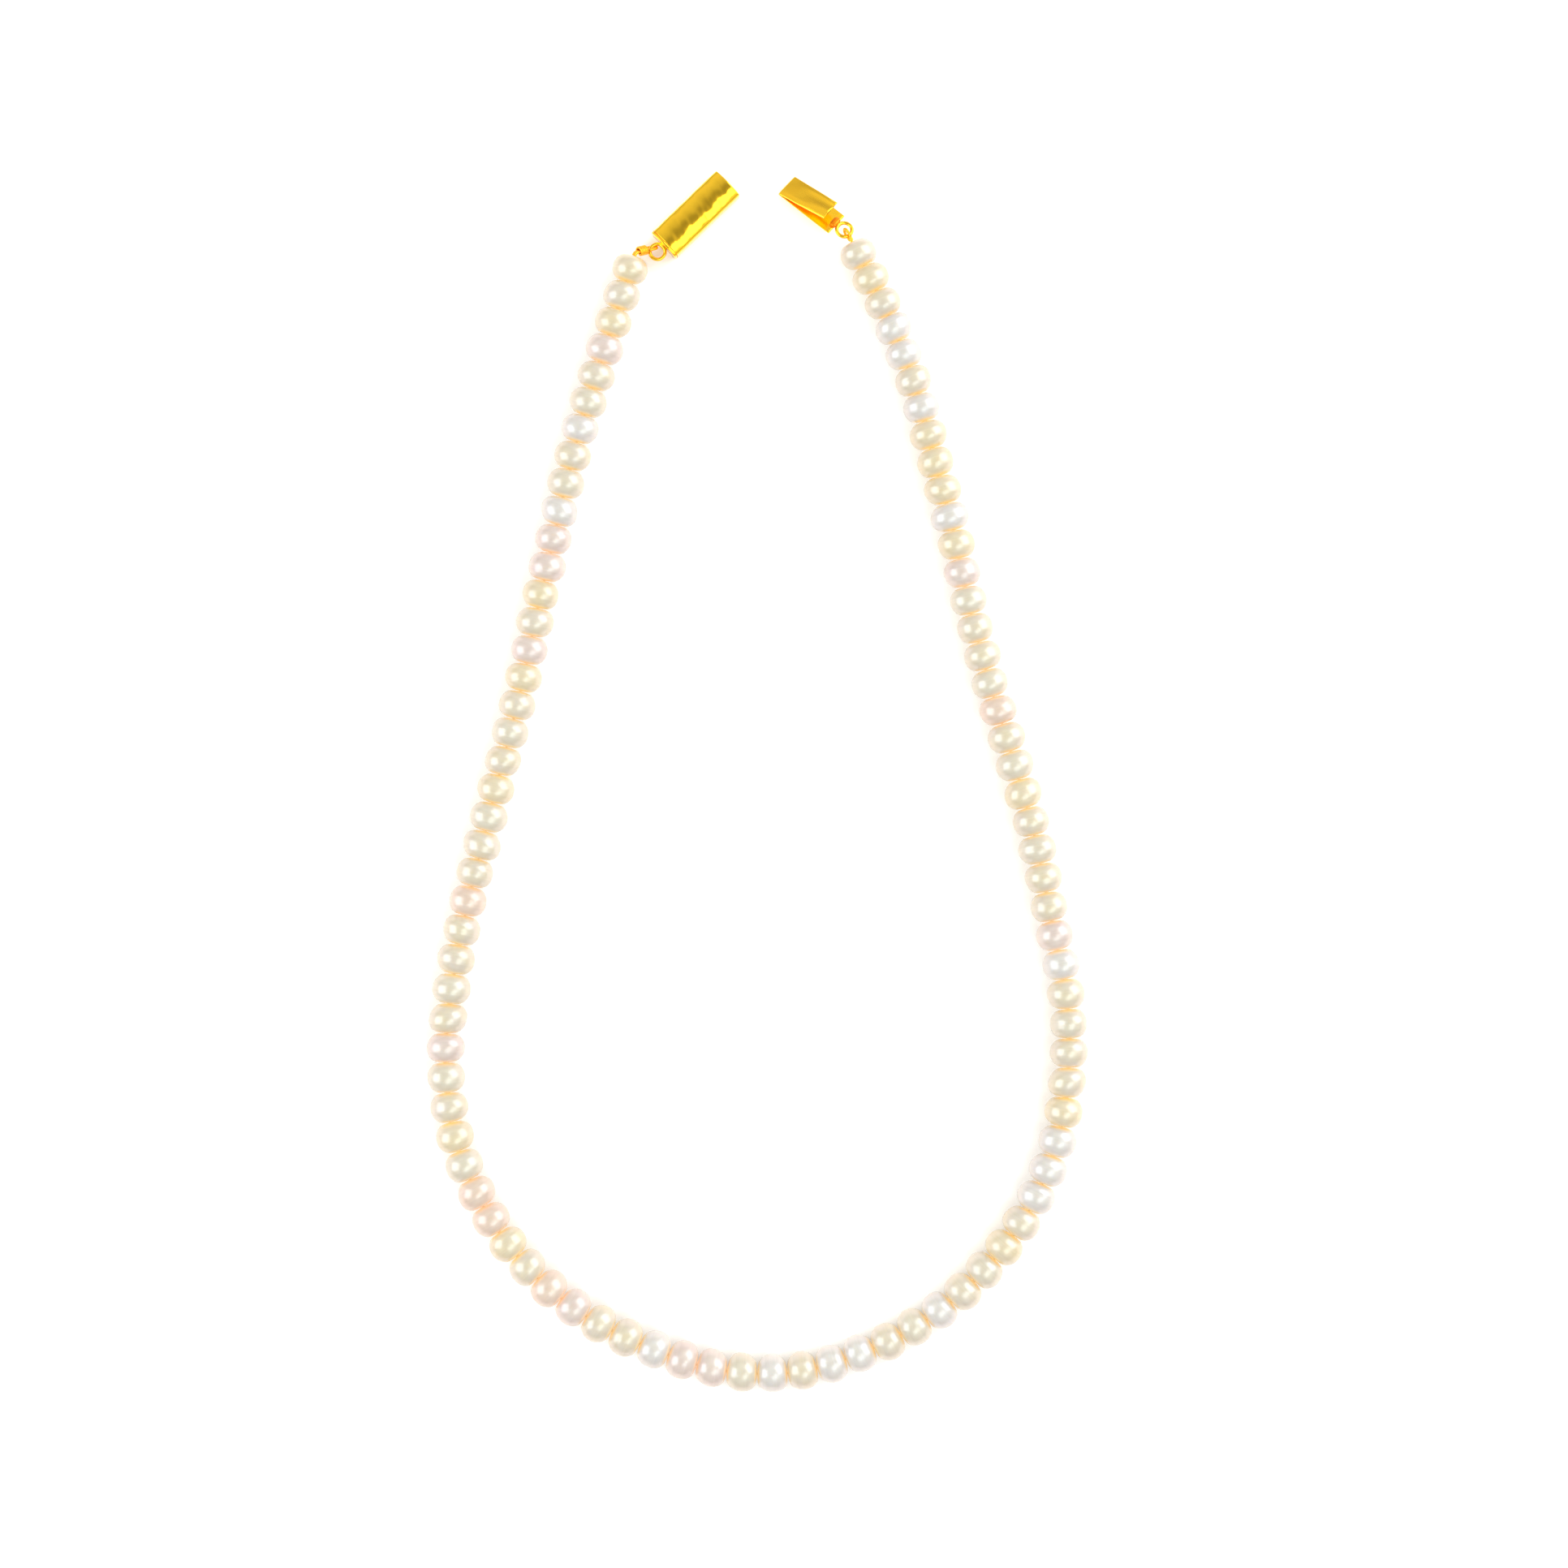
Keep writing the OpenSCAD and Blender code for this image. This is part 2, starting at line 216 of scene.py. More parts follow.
def grid_skin(points, wrap=False, along=None, material=0):
    """A closed skin over a grid of rows and columns. `along` is V at each row, with one more
    value where the rows wrap, and the two end rows get a middle point where they don't."""
    rows, columns = points.shape[:2]
    steps = rows if wrap else rows - 1
    if along is None:
        along = np.arange(steps + 1) / steps
    i, j = np.meshgrid(np.arange(steps), np.arange(columns), indexing="ij")
    after, beside = (i + 1) % rows, (j + 1) % columns
    faces = np.stack([i * columns + j, i * columns + beside,
                      after * columns + beside, after * columns + j], -1).reshape(-1, 4)
    u, v, nearer, further = j / columns, along[i], (j + 1) / columns, along[i + 1]
    uv = np.stack([u, v, nearer, v, nearer, further, u, further], -1).reshape(-1, 4, 2)
    corners = points.reshape(-1, 3)
    ends = np.empty((0, 3), int)
    end_uv = np.empty((0, 3, 2))
    if not wrap:
        first, last = len(corners), len(corners) + 1
        corners = np.vstack([corners, points[0].mean(0), points[-1].mean(0)])
        j = np.arange(columns)
        beside = (j + 1) % columns
        start = (rows - 1) * columns
        ends = np.vstack([np.stack([np.full(columns, first), beside, j], -1),
                          np.stack([np.full(columns, last), start + j, start + beside], -1)])
        a, b = j / columns, (j + 1) / columns
        low, high = np.full(columns, along[0]), np.full(columns, along[-1])
        end_uv = np.concatenate([
            np.stack([(a + b) / 2, low, b, low, a, low], -1),
            np.stack([(a + b) / 2, high, a, high, b, high], -1)]).reshape(-1, 3, 2)
    halves = np.vstack([faces[:, [0, 1, 2]], faces[:, [0, 2, 3]], ends])
    a, b, c = (corners[halves[:, k]] for k in range(3))
    if (a * np.cross(b, c)).sum() < 0:
        faces, uv, ends, end_uv = faces[:, ::-1], uv[:, ::-1], ends[:, ::-1], end_uv[:, ::-1]
    return {"corners": corners, "faces": faces, "ends": ends, "uv": uv, "end_uv": end_uv,
            "material": material}


def make_piece(name, skins, materials, replaced=()):
    """One object from several skins, given in millimetres, with its finish and what it is for."""
    corners, faces, uv, numbers, before = [], [], [], [], 0
    for skin in skins:
        for kind, kind_uv in (("faces", "uv"), ("ends", "end_uv")):
            faces += (skin[kind] + before).tolist()
            uv.append(skin[kind_uv].reshape(-1, 2))
            numbers.append(np.full(len(skin[kind]), skin["material"], np.int32))
        corners.append(skin["corners"])
        before += len(skin["corners"])
    mesh = bpy.data.meshes.new(name)
    mesh.from_pydata((np.vstack(corners) * MM).tolist(), [], faces)
    mesh.uv_layers.new(name="UVMap").data.foreach_set("uv", np.vstack(uv).ravel())
    mesh.polygons.foreach_set("use_smooth", np.ones(len(faces), bool))
    for material in materials:
        mesh.materials.append(material)
    mesh.polygons.foreach_set("material_index", np.concatenate(numbers))
    mesh.update()
    piece = bpy.data.objects.new(name, mesh)
    bpy.context.scene.collection.objects.link(piece)
    if replaced:
        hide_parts(*replaced)
    return piece


def node_points(name):
    """The corners of a CAD node's mesh, in millimetres."""
    mesh = frame["nodes"][name].data
    points = np.empty(3 * len(mesh.vertices))
    mesh.vertices.foreach_get("co", points)
    return points.reshape(-1, 3) / MM


def smooth_line(points, step):
    """A Catmull-Rom curve through the points, cut into even steps, and the run at each."""
    p = np.vstack([2 * points[0] - points[1], points, 2 * points[-1] - points[-2]])
    u = np.linspace(0, 1, 16, endpoint=False)[:, None]
    a, b, c, d = p[:-3, None], p[1:-2, None], p[2:-1, None], p[3:, None]
    dense = 0.5 * (2 * b + (c - a) * u + (2 * a - 5 * b + 4 * c - d) * u ** 2
                   + (3 * b - a - 3 * c + d) * u ** 3)
    dense = np.vstack([dense.reshape(-1, 3), points[-1:]])
    run = np.append(0, np.cumsum(np.linalg.norm(np.diff(dense, axis=0), axis=1)))
    at = np.linspace(0, run[-1], max(int(run[-1] / step), 2) + 1)
    return np.stack([np.interp(at, run, dense[:, k]) for k in range(3)], -1), at


def cord_rings(path, reference, radius):
    """Rings round a path. Each ring's zero direction is the reference with its part along the
    path taken away, and radius is a grid of distances from the path, one for each point."""
    way = unit(np.gradient(path, axis=0))
    reference = np.broadcast_to(np.asarray(reference, float), path.shape)
    side = unit(reference - (reference * way).sum(-1, keepdims=True) * way)
    other = np.cross(way, side)
    angle = 2 * np.pi * np.arange(radius.shape[1]) / radius.shape[1]
    return (path[:, None] + radius[..., None] * (np.cos(angle)[:, None] * side[:, None]
                                                + np.sin(angle)[:, None] * other[:, None]))


# %% [markdown]
# ## Where each pearl is
# The CAD model holds each pearl as a blunt round solid. Its middle, its drill hole's
# direction, its length and its width come from that solid, so a new surface can take its
# place. Most pearls share a node in twos, which are parted by which faces share corners.
# Each end of a pearl reaches the plane halfway to its neighbour, where they press together.

# %% Pearls along the strand
def measured(points, way):
    """Middle, axis, half length and half width of one round solid. The axis is the main
    direction of its points' spread that lies nearest to `way`."""
    middle = points.mean(0)
    spread = np.linalg.eigh(np.cov((points - middle).T))[1].T
    axis = max(spread, key=lambda v: abs(v @ way))
    axis = unit(axis * np.sign(axis @ way))
    along = (points - middle) @ axis
    out = np.linalg.norm((points - middle) - along[:, None] * axis, axis=1)
    return {"middle": middle, "axis": axis, "half": np.abs(along).max(), "wide": out.max()}


def joint_at(name):
    """A joint's place in millimetres."""
    return np.array(joints[name]["pos_m"]) / MM


pair_count = sum(name.startswith("pearls_left_") for name in frame["nodes"])


def parted(node, way):
    """The solids of one node, in order along `way`. Corners at one place are merged, and each
    takes the lowest number among its faces' corners until nothing changes."""
    mesh = frame["nodes"][node].data
    mesh.calc_loop_triangles()
    faces = np.empty(3 * len(mesh.loop_triangles), np.int32)
    mesh.loop_triangles.foreach_get("vertices", faces)
    points, same = np.unique(node_points(node).round(4), axis=0, return_inverse=True)
    faces = same.ravel()[faces].reshape(-1, 3)
    label, before = np.arange(len(points)), None
    while before is None or (label != before).any():
        before = label.copy()
        np.minimum.at(label, faces.ravel(), np.repeat(before[faces].min(1), 3))
    solids = [points[label == k] for k in np.unique(label)]
    return sorted(solids, key=lambda solid: solid.mean(0) @ way)


def strand(side, n):
    """The name of the joint on the clasp's side of a pair."""
    return f"strand_{side}_{n:02d}"


pairs = range(1, pair_count + 1)
chain = [("pearl_left_end", "clasp_box_lift", strand("left", 1))]
chain += [(f"pearls_left_{n:02d}", strand("left", n), strand("left", n + 1)) for n in pairs]
chain += [("pearl_centre", strand("left", pair_count + 1), strand("right", pair_count + 1))]
chain += [(f"pearls_right_{n:02d}", strand("right", n + 1), strand("right", n))
          for n in reversed(pairs)]
chain += [("pearl_right_end", strand("right", 1), "clasp_tongue_lift")]
pearls = []
for node, before, after in chain:
    way = unit(joint_at(after) - joint_at(before))
    pearls += [{"node": node, **measured(points, way)} for points in parted(node, way)]
CONTACT_CLEAR = 0.004
for pearl in pearls:
    pearl["across"] = np.cross([0, 0, 1.0], pearl["axis"])
    pearl["back"] = pearl["ahead"] = pearl["half"]
    pearl["back_tilt"] = pearl["ahead_tilt"] = 0.0
for a, b in zip(pearls, pearls[1:]):
    plane = unit(a["axis"] + b["axis"])
    gap = np.linalg.norm(b["middle"] - a["middle"]) - a["half"] - b["half"]
    a["ahead"] = a["half"] + gap / 2 - CONTACT_CLEAR
    b["back"] = b["half"] + gap / 2 - CONTACT_CLEAR
    a["ahead_tilt"] = -(a["across"] @ plane) / (a["axis"] @ plane)
    b["back_tilt"] = -(b["across"] @ plane) / (b["axis"] @ plane)
print("pearls", len(pearls), "widths", round(2 * min(p["wide"] for p in pearls), 2), "to",
      round(2 * max(p["wide"] for p in pearls), 2), "mm")

# %% [markdown]
# ## The shape of a freshwater pearl
# A mussel grows dozens of these pearls at once, each round a bit of tissue, so none is truly
# round. They are shorter along the drill hole than across it, a little egg-shaped, flattened
# on one side, and some have a ring or a dimple. A sphere with a bump map would keep a
# perfect outline, so the outline itself is worked out, with gentle lumps from a seeded sum
# of waves. Where two pearls press together on the thread, their ends are flat.

# %% Pearl surface
AROUND, OUTSIDE = 56, 38
BLUNT, CUT = 2.15, 1.1
BORE_R, LIP = 0.4, 0.07
END_CONE = np.radians(4.9)


def soft_flat(z, limit, power=26):
    """z, rounded off so that it never passes the limit: z / (1 + (z / limit)^p)^(1 / p)."""
    flat = z / (1 + np.abs(z / limit) ** power) ** (1 / power)
    return flat / np.abs(flat / limit).max()


def pearl_outline(half, wide):
    """Half of a pearl's cross-section: radius and height, from one hole's rim to the other.
    It is a blunt ellipse |z / h|^n + |r / w|^n = 1, where n is BLUNT and h is CUT times half
    the pearl. Its ends are cut off softly as low cones, so that neighbours can tip against
    each other. The V and the ellipse's angle at each point come with it."""
    full = CUT * half
    angle = np.linspace(0, np.pi, 400)
    z = full * blunt(np.cos(angle), 2 / BLUNT)
    r = wide * np.abs(np.sin(angle)) ** (2 / BLUNT)
    z = soft_flat(z, half - np.tan(END_CONE) * r)
    keep = r >= BORE_R + LIP
    z, r, angle = z[keep], r[keep], angle[keep]
    run = np.append(0, np.cumsum(np.hypot(np.diff(z), np.diff(r))))
    at = np.linspace(0, run[-1], OUTSIDE)
    return (np.interp(at, run, r), np.interp(at, run, z), at / run[-1],
            np.interp(at, run, angle))


LUMPS = ((2, 1, 0.013), (1, 2, 0.012), (3, 1, 0.007), (2, 3, 0.005))
EGG, FLAT_SIDES, RINGS, DIMPLES = 0.018, (0, 0.02, 0.035), (0, 0, 0.008, 0.014), (0, 0, 0, 0.022)
LEAN = 0.05


def pearl_growth(tip, round_angle, rng):
    """How one pearl differs from its outline: what its radius is multiplied by, and how far
    it leans. The radius is 1 + lumps + egg - flat side - ring - dimple, where a lump is
    cos(turns * angle round it) * cos(rises * angle from its tip). All fade at the hole."""
    fade = np.sin(tip) ** 2
    lumps = 0
    for turns, rises, size in LUMPS:
        start, lift = rng.uniform(0, 2 * np.pi, 2)
        lumps = lumps + size * rng.normal() * np.cos(turns * round_angle + start) * np.cos(
            rises * tip + lift)
    egg = rng.normal() * EGG * np.cos(tip)
    flat_at, flat_size = rng.uniform(0, 2 * np.pi), rng.choice(FLAT_SIDES)
    side = np.clip(np.cos(round_angle - flat_at), 0, 1) ** 3
    ring_at, ring_size = rng.uniform(0.9, 2.2), rng.choice(RINGS)
    ring = ring_size * np.exp(-((tip - ring_at - 0.12 * np.cos(round_angle - flat_at)) / 0.09) ** 2)
    dimple_at, dimple_tip = rng.uniform(0, 2 * np.pi), rng.uniform(1.0, 2.1)
    dimple_size = rng.choice(DIMPLES)
    apart = np.angle(np.exp(1j * (round_angle - dimple_at))) ** 2 + (tip - dimple_tip) ** 2
    dimple = dimple_size * np.exp(-apart / 0.03)
    shape = 1 + fade * (lumps + egg - flat_size * side - ring - dimple)
    lean = fade * LEAN * rng.normal() * np.cos(round_angle - rng.uniform(0, 2 * np.pi))
    return shape, lean


def pearl_skin(pearl, rng, material):
    """A pearl's skin, whose rows run down the outside and back up the drill hole. Each end is
    stretched or tilted to the plane that it shares with its neighbour."""
    r, z, v, tip = pearl_outline(pearl["half"], pearl["wide"])
    round_angle = 2 * np.pi * np.arange(AROUND)[None] / AROUND
    shape, lean = pearl_growth(tip[:, None], round_angle, rng)
    r_grid = r[:, None] * shape
    z_grid = z[:, None] * np.ones_like(r_grid) + lean * r[:, None]
    share = z_grid / pearl["half"]
    lateral = r_grid * np.cos(round_angle)
    z_grid = (np.where(share > 0, pearl["ahead"], pearl["back"]) * share
              + lateral * np.where(share > 0, pearl["ahead_tilt"], pearl["back_tilt"])
              * np.clip(np.abs(share), 0, 1) ** 3)
    hole_z = np.array([-(pearl["back"] - LIP), 0, pearl["ahead"] - LIP])[:, None]
    r_grid = np.vstack([r_grid, np.full((3, AROUND), BORE_R)])
    z_grid = np.vstack([z_grid, np.broadcast_to(hole_z, (3, AROUND))])
    up = np.array([0, 0, 1.0])
    points = (pearl["middle"] + z_grid[..., None] * pearl["axis"]
              + r_grid[..., None] * (np.cos(round_angle)[..., None] * pearl["across"]
                                     + np.sin(round_angle)[..., None] * up))
    points[..., 2] -= points[..., 2].min()
    along = np.concatenate([v, [1, 0.5, 0, 0]])
    return grid_skin(points, wrap=True, along=along, material=material)


print("corners on a pearl", AROUND * (OUTSIDE + 3))

# %% [markdown]
# ## Nacre
# Nacre is thousands of aragonite plates, each thinner than a wave of light. Light goes a
# little way in before it comes back, so the body glows; the polished plates above act as a
# soft mirror, and the thin layers tint that mirror pink and green. So the shader has some
# scattering, a little metallic share for the depth of the mirror, a clear coat and a thin
# film. Each pearl has one of a few body tones. A honey tint near the drill holes is partly
# the cut layers' own colour and partly painted light: it stands for the warm light that
# neighbouring pearls bounce into the creases between them. Light also seeps through a real
# pearl into the crease beside its neighbour; scattering can't carry it between two pieces,
# so a faint painted glow there, an emission near the holes, stands in.

# %% Nacre finish
NACRE_SCATTER_MM = 1.6
# Strength of the painted glow near the holes, which stands in for light seeping into the creases.
PAINTED_SEEP_GLOW = 0.5
BLOOM_MM = 2.6
GROWTH_RINGS = 9.0


def nacre(name, body, bloom, hole="#EDD093"):
    """Polished nacre: a body tone, a second tone that drifts over it in patches as wide as
    BLOOM_MM, faint growth rings along V, and a honey tint near both ends of V, which is partly
    the cut layers' own colour and partly painted light bounced into the creases. The same ramp
    lets a painted glow of the hole colour shine there."""
    material, tree, shader = new_material(name, {
        "Metallic": 0.1, "Roughness": 0.3, "IOR": 1.6, "Subsurface Weight": 0.45,
        "Subsurface Radius": (1.0, 0.72, 0.42), "Subsurface Scale": NACRE_SCATTER_MM * MM,
        "Coat Weight": 1.0, "Coat Roughness": 0.26, "Coat IOR": 1.7,
        "Thin Film Thickness": 330.0, "Thin Film IOR": 1.45, "Emission Strength": PAINTED_SEEP_GLOW})
    place = add_node(tree, "ShaderNodeTexCoord")
    patches = add_node(tree, "ShaderNodeTexNoise",
                       values={"Scale": 1 / (BLOOM_MM * MM), "Detail": 2.0, "Roughness": 0.5},
                       links={"Vector": place.outputs["Object"]})
    drift = add_node(tree, "ShaderNodeMapRange",
                     values={"From Min": 0.35, "From Max": 0.65, "To Min": 0.0, "To Max": 0.8},
                     links={"Value": patches.outputs["Fac"]})
    body_mix = add_node(tree, "ShaderNodeMix", {"data_type": "RGBA"},
                        {6: linear(body), 7: linear(bloom)}, {0: drift.outputs["Result"]})
    own = add_node(tree, "ShaderNodeSeparateXYZ", links={"Vector": place.outputs["UV"]})
    rings = add_node(tree, "ShaderNodeTexNoise", {"noise_dimensions": "1D"},
                     {"Scale": GROWTH_RINGS, "Detail": 3.0}, {"W": own.outputs["Y"]})
    ring_tint = add_node(tree, "ShaderNodeMapRange",
                         values={"From Min": 0.3, "From Max": 0.7, "To Min": 0.94, "To Max": 1.03},
                         links={"Value": rings.outputs["Fac"]})
    ringed = add_node(tree, "ShaderNodeVectorMath", {"operation": "SCALE"}, {},
                      {"Vector": body_mix.outputs[2], "Scale": ring_tint.outputs["Result"]})
    # Ramp near both ends of V: a honey tint, partly the holes' own colour and partly painted crease light, and a
    # painted glow.
    hole_tint_and_glow_ramp = add_node(tree, "ShaderNodeValToRGB", links={"Fac": own.outputs["Y"]})
    stops = hole_tint_and_glow_ramp.color_ramp.elements
    stops[0].color = stops[1].color = (1, 1, 1, 1)
    for at, amount in ((0.11, 0.55), (0.25, 0.0), (0.75, 0.0), (0.89, 0.55)):
        stops.new(at).color = (amount, amount, amount, 1)
    # Painted glow: an emission in the hole colour near both ends of V lights the creases between pearls.
    glow = add_node(tree, "ShaderNodeMix", {"data_type": "RGBA"},
                    {6: (0, 0, 0, 1), 7: linear(hole)}, {0: hole_tint_and_glow_ramp.outputs["Color"]})
    tree.links.new(glow.outputs[2], shader.inputs["Emission Color"])
    # Painted light in part: the honey tint near the holes also stands for light bounced between neighbouring
    # pearls.
    tinted = add_node(tree, "ShaderNodeMix", {"data_type": "RGBA"}, {7: linear(hole)},
                      {0: hole_tint_and_glow_ramp.outputs["Color"], 6: ringed.outputs["Vector"]})
    tree.links.new(tinted.outputs[2], shader.inputs["Base Color"])
    skin = add_node(tree, "ShaderNodeTexNoise", values={"Scale": 1 / (0.9 * MM), "Detail": 3.0},
                    links={"Vector": place.outputs["Object"]})
    bump = add_node(tree, "ShaderNodeBump", values={"Strength": 0.25, "Distance": 0.00003},
                    links={"Height": skin.outputs["Fac"]})
    tree.links.new(bump.outputs["Normal"], shader.inputs["Normal"])
    tree.links.new(bump.outputs["Normal"], shader.inputs["Coat Normal"])
    return material


# The third colour is the hole tint, which also colours the painted glow in the creases.
TONES = {
    "cream": ("pearl_cream", nacre("nacre_cream", "#C8BEA2", "#C4BBAB")),
    "ivory": ("pearl_ivory", nacre("nacre_ivory", "#C6BFAA", "#C4BBA5")),
    "white": ("pearl_white", nacre("nacre_white", "#C6C2B9", "#C4BFB8")),
    "rose": ("pearl_rose", nacre("nacre_rose", "#C9BDB0", "#C5B5AB", "#EFCDA4")),
    "peach": ("pearl_rose", nacre("nacre_peach", "#CCBAA7", "#CAB6A3", "#EFC99E")),
    "honey": ("pearl_cream", nacre("nacre_honey", "#CBBE9A", "#C8BDA3", "#EFD087")),
}
print("nacre tones", len(TONES))

# %% [markdown]
# ## Stringing order
# A stringer sorts pearls by size and lets their tones mix. Counted from the box end, the
# lists say which are white, rose, peach or honey; the rest alternate cream and ivory.

# %% Pearls, strung
SORTED = {
    "white": (7, 10, 42, 46, 48, 49, 52, 57, 58, 59, 65, 81, 85, 87, 88),
    "rose": (4, 11, 12, 15, 29, 39, 43, 44, 66, 79),
    "peach": (24, 34, 35, 38, 74),
    "honey": (1, 3, 13, 16, 20, 32, 36, 55, 60, 71, 80, 82, 83, 84, 90),
}
tone_of = {number: tone for tone, numbers in SORTED.items() for number in numbers}
rng = np.random.default_rng(91)
by_node = {}
for number, pearl in enumerate(pearls, 1):
    pearl["tone"] = tone_of.get(number, "ivory" if number % 3 == 0 else "cream")
    by_node.setdefault(pearl["node"], []).append(pearl)
body_of = {node: body for body, members in frame["record"]["behaviour"]["bodies"].items()
           for node in members}
for node, shared in by_node.items():
    skins = [pearl_skin(pearl, rng, k) for k, pearl in enumerate(shared)]
    finishes = [TONES[pearl["tone"]][1] for pearl in shared]
    piece = make_piece(node + "_nacre", skins, finishes, [node])
    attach(piece, body_of[node])
print("pearl pieces", len(by_node))

# %% [markdown]
# ## Silk thread
# One silk thread of three twisted plies runs through all the pearls. It follows the strand's
# bends, so it is made in stretches, each of which runs through the gaps from one pearl to the
# next and is fixed where it is made. A short stretch at each end stays in the end pearl, nearly
# to its mouth, where the bullion takes over. Together they are the whole thread.

# %% Silk
THREAD_R = 0.175
PLY_TWIST_MM = 1.6
thread_material, tree, shader = new_material("twisted_silk", {
    "Base Color": linear("#F3EBDD"), "Roughness": 0.55, "Sheen Weight": 0.3,
    "Sheen Roughness": 0.4})
place = add_node(tree, "ShaderNodeTexCoord")
fibres = add_node(tree, "ShaderNodeTexNoise", values={"Scale": 1 / (0.12 * MM), "Detail": 3.0},
                  links={"Vector": place.outputs["Object"]})
fibre_tint = add_node(tree, "ShaderNodeMix", {"data_type": "RGBA"},
                      {6: linear("#EFE4D0"), 7: linear("#F8F2E8")}, {0: fibres.outputs["Fac"]})
tree.links.new(fibre_tint.outputs[2], shader.inputs["Base Color"])


def thread_skin(points):
    """Three plies: the radius is 1 + 0.13 cos 3(angle - twist) times the thread's own."""
    path, run = smooth_line(np.array(points), 0.12)
    angle = 2 * np.pi * np.arange(12)[None] / 12
    twist = 2 * np.pi * run[:, None] / PLY_TWIST_MM
    radius = THREAD_R * (1 + 0.13 * np.cos(3 * (angle - twist / 3)))
    return grid_skin(cord_rings(path, (0, 0, 1), radius))


def between(a, b):
    """The middle of the gap between two pearls."""
    return (a["middle"] + a["axis"] * a["half"] + b["middle"] - b["axis"] * b["half"]) / 2


THREAD_BEND, THREAD_TAIL = 0.7, 0.9
middle_number = len(pearls) // 2
for side, order in (("left", pearls[:middle_number + 1]), ("right", pearls[:middle_number - 1:-1])):
    flip = 1 if side == "left" else -1
    for n in range(1, pair_count + 2):
        first = 2 * n - 2
        run = order[first:first + 3]
        points = [run[0]["middle"]]
        for a, b in zip(run, run[1:]):
            points += [between(a, b) if flip > 0 else between(b, a), b["middle"]]
        stretch = make_piece(f"silk_{side}_{n:02d}", [thread_skin(points)], [thread_material],
                             ["stringing_thread"])
        gap, way = points[1], run[0]["axis"] * flip
        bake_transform(stretch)
for side, pearl, mouth in (("left", pearls[0], "clasp_box_lift"),
                           ("right", pearls[-1], "clasp_tongue_lift")):
    tail = pearl["middle"] + THREAD_TAIL * (joint_at(mouth) - pearl["middle"])
    stretch = make_piece(f"silk_{side}_end", [thread_skin([pearl["middle"], tail])],
                         [thread_material], ["stringing_thread"])
    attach(stretch, body_of[pearl["node"]])
print("silk stretches", 2 * (pair_count + 2))

# %% [markdown]
# ## Gold metals
# The clasp is brass with a bright yellow gold plate under a thin clear lacquer: the plate
# gives the deep yellow, and the lacquer adds a paler highlight over it. The plate was
# buffed along the tube, which leaves hair-fine scratches. The solder was left as it ran.

# %% Gold finishes
SCRATCH_MM = 0.14
BUMP_HEIGHT = 0.00002


def gold(name, base, values, patch_mm, patch_tint, rough_low, rough_high, stretch, bump_strength):
    """Metal whose tone and roughness drift in patches, under fine marks that are stretched
    along V by `stretch`, drawn as coarse as SCRATCH_MM so that they show."""
    material, tree, shader = new_material(name, {"Metallic": 1.0, **values})
    place = add_node(tree, "ShaderNodeTexCoord")
    patches = add_node(tree, "ShaderNodeTexNoise", values={"Scale": 1 / (patch_mm * MM),
                       "Detail": 3.0}, links={"Vector": place.outputs["Object"]})
    tint = add_node(tree, "ShaderNodeMix", {"data_type": "RGBA"},
                    {6: linear(base), 7: linear(patch_tint)}, {0: patches.outputs["Fac"]})
    tree.links.new(tint.outputs[2], shader.inputs["Base Color"])
    rough = add_node(tree, "ShaderNodeMapRange", values={"From Min": 0.3, "From Max": 0.7,
                     "To Min": rough_low, "To Max": rough_high},
                     links={"Value": patches.outputs["Fac"]})
    tree.links.new(rough.outputs["Result"], shader.inputs["Roughness"])
    lengthen = add_node(tree, "ShaderNodeMapping", values={"Scale": (1.0, stretch, 1.0)},
                        links={"Vector": place.outputs["UV"]})
    marks = add_node(tree, "ShaderNodeTexNoise", values={"Scale": 1 / SCRATCH_MM, "Detail": 4.0},
                     links={"Vector": lengthen.outputs["Vector"]})
    bump = add_node(tree, "ShaderNodeBump",
                    values={"Strength": bump_strength, "Distance": BUMP_HEIGHT},
                    links={"Height": marks.outputs["Fac"]})
    tree.links.new(bump.outputs["Normal"], shader.inputs["Normal"])
    return material


LACQUER = {"Coat Weight": 0.6, "Coat Roughness": 0.12, "Coat IOR": 1.5}
plate_gold = gold("buffed_gold_plate", "#FFC814", LACQUER, 3.0, "#FFCE1E", 0.13, 0.2, 0.05, 0.12)
leaf_gold = gold("rolled_gold_strip", "#FFC410", LACQUER, 2.0, "#FFCA1C", 0.16, 0.26, 0.06, 0.2)
wire_gold = gold("drawn_gold_wire", "#FFC41C", LACQUER, 1.0, "#FFCC28", 0.16, 0.24, 1.0, 0.1)
gimp_gold = gold("gold_bullion_cord", "#FFC632", {"Coat Weight": 0.3, "Coat Roughness": 0.25},
                 0.5, "#FFB428", 0.28, 0.42, 1.0, 0.1)
solder_gold = gold("cast_gold_solder", "#F59A0E", {"Coat Weight": 0.2, "Coat Roughness": 0.3},
                   0.25, "#D06A08", 0.35, 0.6, 1.0, 0.9)
print("golds", sum("gold" in material.name for material in bpy.data.materials))

# %% [markdown]
# ## Measuring the clasp
# Each half of the clasp has its own directions: its ring's middle is the origin, X points
# along it and Z out of its ring. Sizes are read from the CAD solids in those directions.

# %% Clasp frames
def own_place(origin, along, up):
    """An origin and three axes, with Z along `up` and X as near to `along` as it can be."""
    up = unit(up)
    along = unit(along - (along @ up) * up)
    return np.array(origin, float), np.stack([along, np.cross(up, along), up])


def to_world(points, place):
    """Points in a half's own directions, as the scene's millimetres."""
    return place[0] + points @ place[1]


def own_box(node, place):
    """Lowest and highest corner of a node in a half's own directions."""
    local = (node_points(node) - place[0]) @ place[1].T
    return local.min(0), local.max(0)


